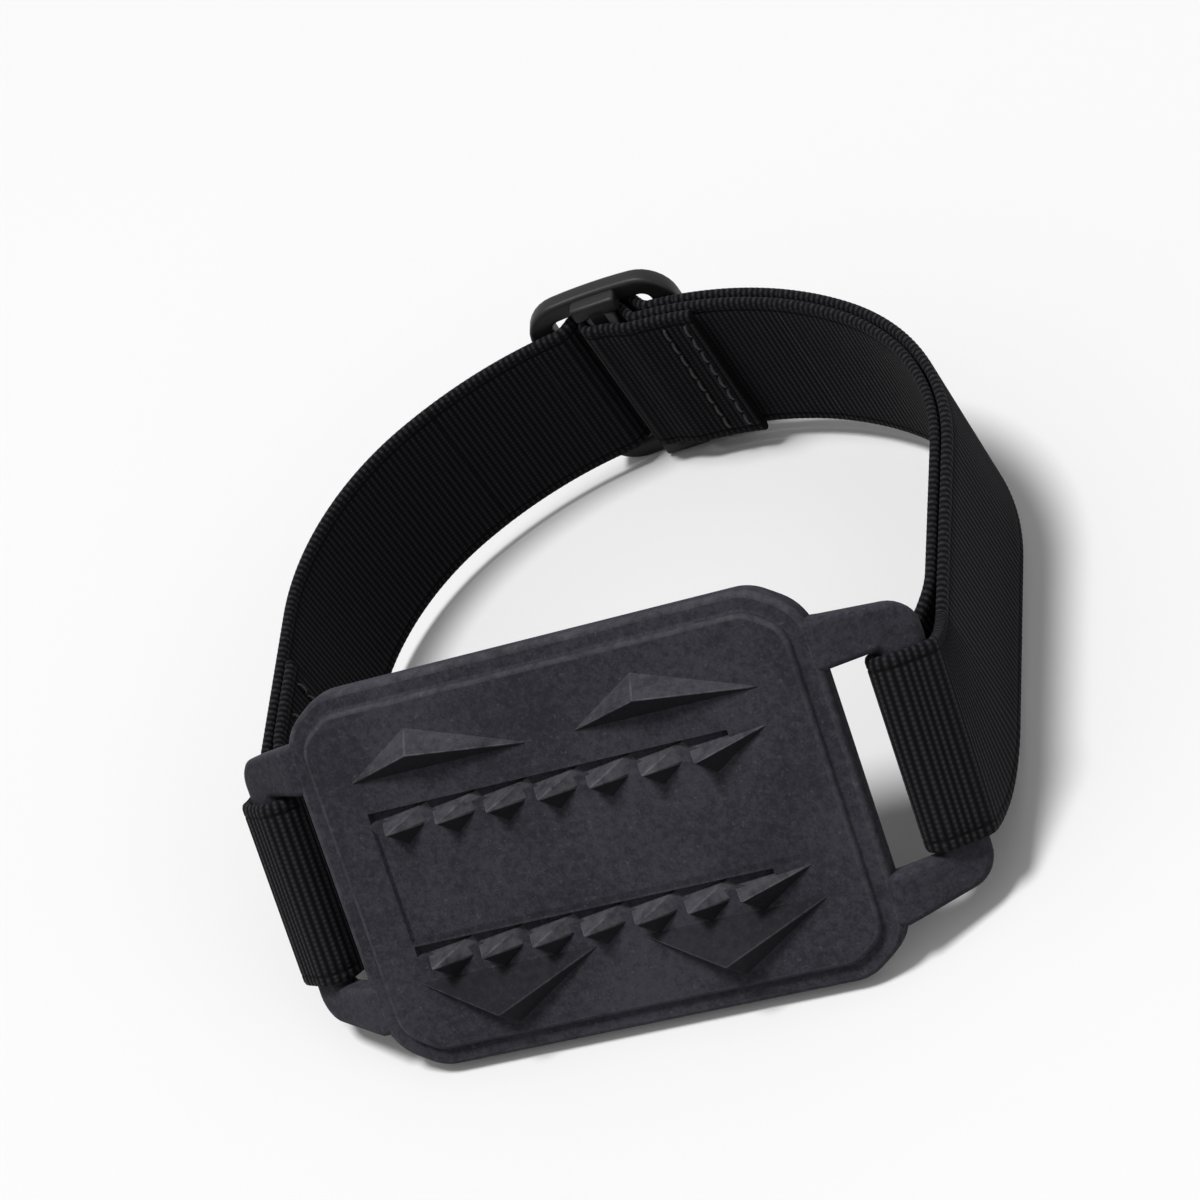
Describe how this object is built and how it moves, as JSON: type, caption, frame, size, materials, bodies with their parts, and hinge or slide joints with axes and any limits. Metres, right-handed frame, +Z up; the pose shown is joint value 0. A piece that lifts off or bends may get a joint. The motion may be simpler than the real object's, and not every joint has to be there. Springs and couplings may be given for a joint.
{
  "type": "ice cleat",
  "caption": "Mid-sole ice cleat: a toothed black rubber tread plate with slotted lugs, held under a boot by an elastic strap with a slide adjuster.",
  "frame": {"origin": "centre of the footprint, on the surface that the cleat stands on", "axes": "+Z up, +X across the foot towards the adjusting side of the strap, -Y the way the toothed face looks; the toe side of the plate is up, and the strap loop runs back along +Y"},
  "size_m": [0.115, 0.1239, 0.0516],
  "materials": {
    "rubber": "matte moulded",
    "webbing": "ribbed woven elastic",
    "thread": "twisted sewing thread",
    "slider": "satin moulded"
  },
  "bodies": {
    "plate": {"tread_plate": "rubber", "strap_bar_wrap": "webbing", "strap_anchor_wrap": "webbing", "strap_fixed_side": "webbing", "strap_outer_side": "webbing", "strap_return_side": "webbing", "strap_anchor_tail": "webbing", "anchor_seam": "thread"},
    "loop": {"strap_instep_run": "webbing", "strap_outer_run": "webbing", "strap_return_run": "webbing", "strap_fixed_feed": "webbing", "strap_outer_feed": "webbing", "strap_return_feed": "webbing"},
    "slider": {"slider_frame": "slider", "strap_slider_bend": "webbing", "strap_end_loop": "webbing", "end_seam": "thread"}
  },
  "joints": [
    {"name": "strap_stretch", "type": "slide", "parent": "plate", "child": "loop", "axis": [0, 0.9997, 0.024], "range_m": [0, 0.02], "stiffness_N_per_m": 500, "deforming": ["strap_fixed_side", "strap_outer_side", "strap_return_side", "strap_anchor_tail", "anchor_seam"]},
    {"name": "slider_travel", "type": "hinge", "parent": "loop", "child": "slider", "pos_m": [0, -0.00953, 0.01761], "axis": [0, -0.024, 0.9997], "range_deg": [-12, 12], "deforming": ["strap_fixed_feed", "strap_outer_feed", "strap_return_feed"]}
  ]
}
